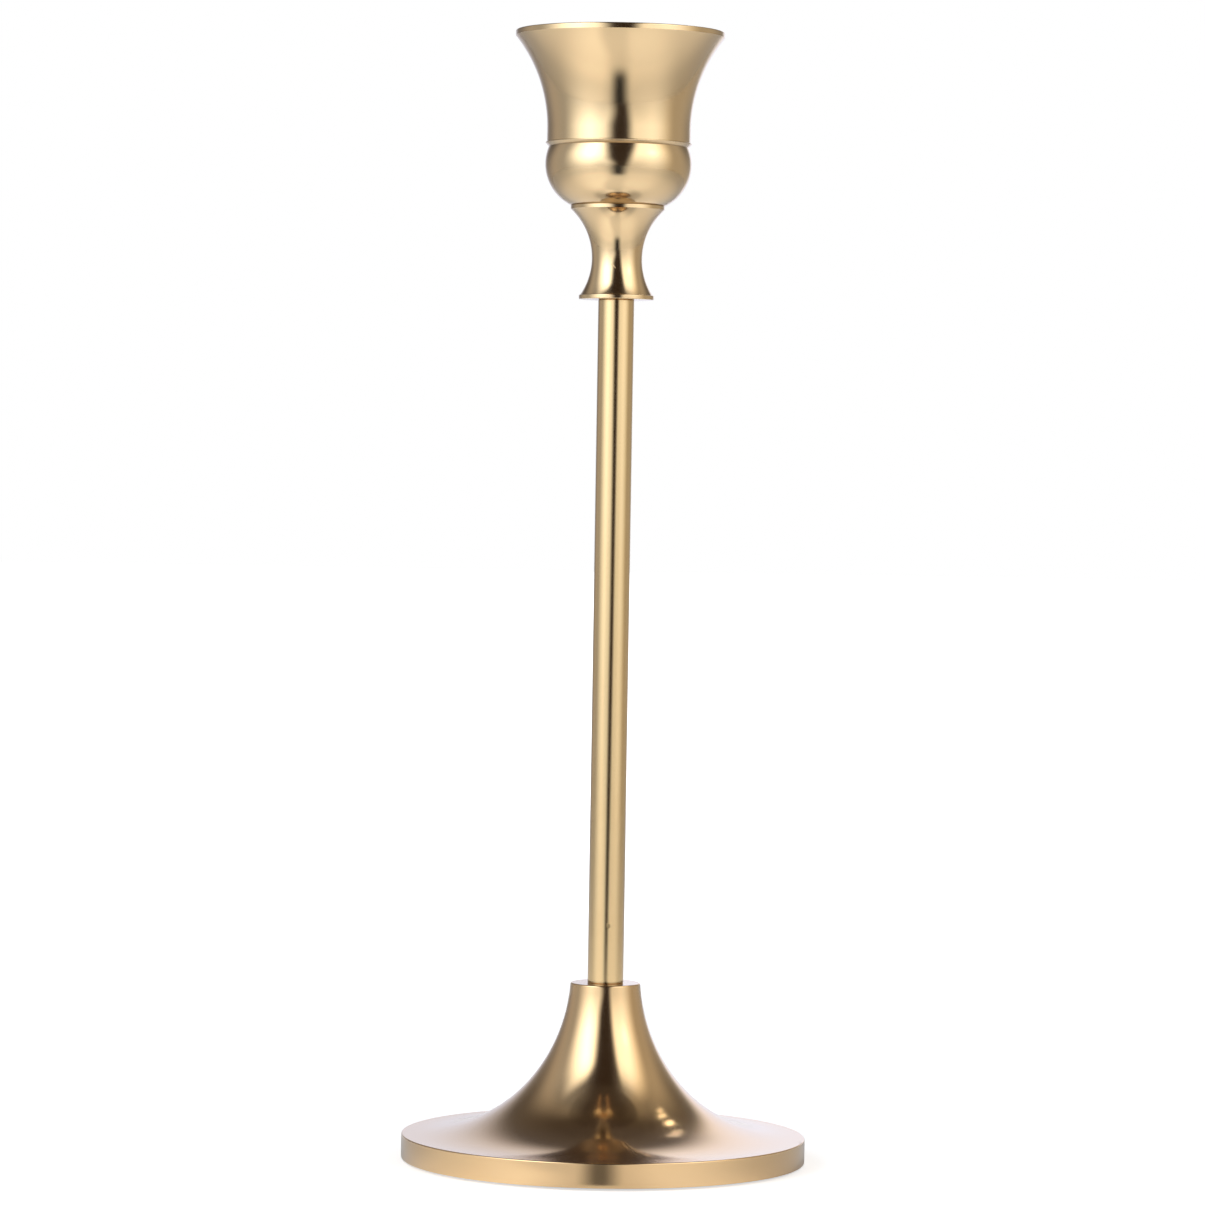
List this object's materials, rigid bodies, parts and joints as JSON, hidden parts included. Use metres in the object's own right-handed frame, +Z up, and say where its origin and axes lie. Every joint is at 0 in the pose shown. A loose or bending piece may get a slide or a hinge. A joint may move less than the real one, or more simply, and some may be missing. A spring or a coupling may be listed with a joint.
{
  "type": "candlestick",
  "caption": "Polished brass candlestick with a flared foot, a slim straight stem and a bell-shaped cup on a waisted neck, which unscrew from each other; holds a taper candle.",
  "frame": {"origin": "on the axis, on the surface that the pad stands on", "axes": "+Z up along the axis of stem and cup; the part is turned, so X and Y are alike"},
  "size_m": [0.09, 0.09, 0.2513],
  "materials": {
    "brass_foot": "polished and lacquered, a little redder than the stem",
    "brass_stem": "polished and lacquered",
    "brass_cup": "polished and lacquered",
    "brass_socket": "satin, as drawn",
    "steel": "bright zinc",
    "plate_steel": "plain rolled",
    "spring_steel": "blued",
    "ballast": "as cast",
    "pad": "fine-grained foam rubber"
  },
  "bodies": {
    "foot": {"foot_shell": "brass_foot", "foot_socket": "steel", "foot_weight": "ballast", "bottom_plate": "plate_steel", "tie_bolt": "steel", "tie_washer": "spring_steel", "base_pad": "pad"},
    "foot_screw": {"lower_washer": "spring_steel"},
    "stem": {"stem_tube": "brass_stem", "lower_stud": "steel", "upper_stud": "steel"},
    "neck_screw": {"upper_washer": "spring_steel"},
    "head": {"neck": "brass_cup", "candle_cup": "brass_cup", "socket_cup": "brass_socket", "cup_screw": "steel", "cup_washer": "spring_steel"}
  },
  "joints": [
    {"name": "stem_turn", "type": "hinge", "parent": "foot", "child": "foot_screw", "pos_m": [0, 0, 0.0399], "axis": [0, 0, 1], "range_deg": [0, 3600]},
    {"name": "stem_rise", "type": "slide", "parent": "foot_screw", "child": "stem", "axis": [0, 0, 1], "range_m": [0, 0.007]},
    {"name": "head_turn", "type": "hinge", "parent": "stem", "child": "neck_screw", "pos_m": [0, 0, 0.1919], "axis": [0, 0, 1], "range_deg": [0, 3600]},
    {"name": "head_rise", "type": "slide", "parent": "neck_screw", "child": "head", "axis": [0, 0, 1], "range_m": [0, 0.007]}
  ],
  "couplings": [
    {"joint": "stem_turn", "follows": "stem_rise", "rad_per_m": 8976},
    {"joint": "head_turn", "follows": "head_rise", "rad_per_m": 8976}
  ]
}
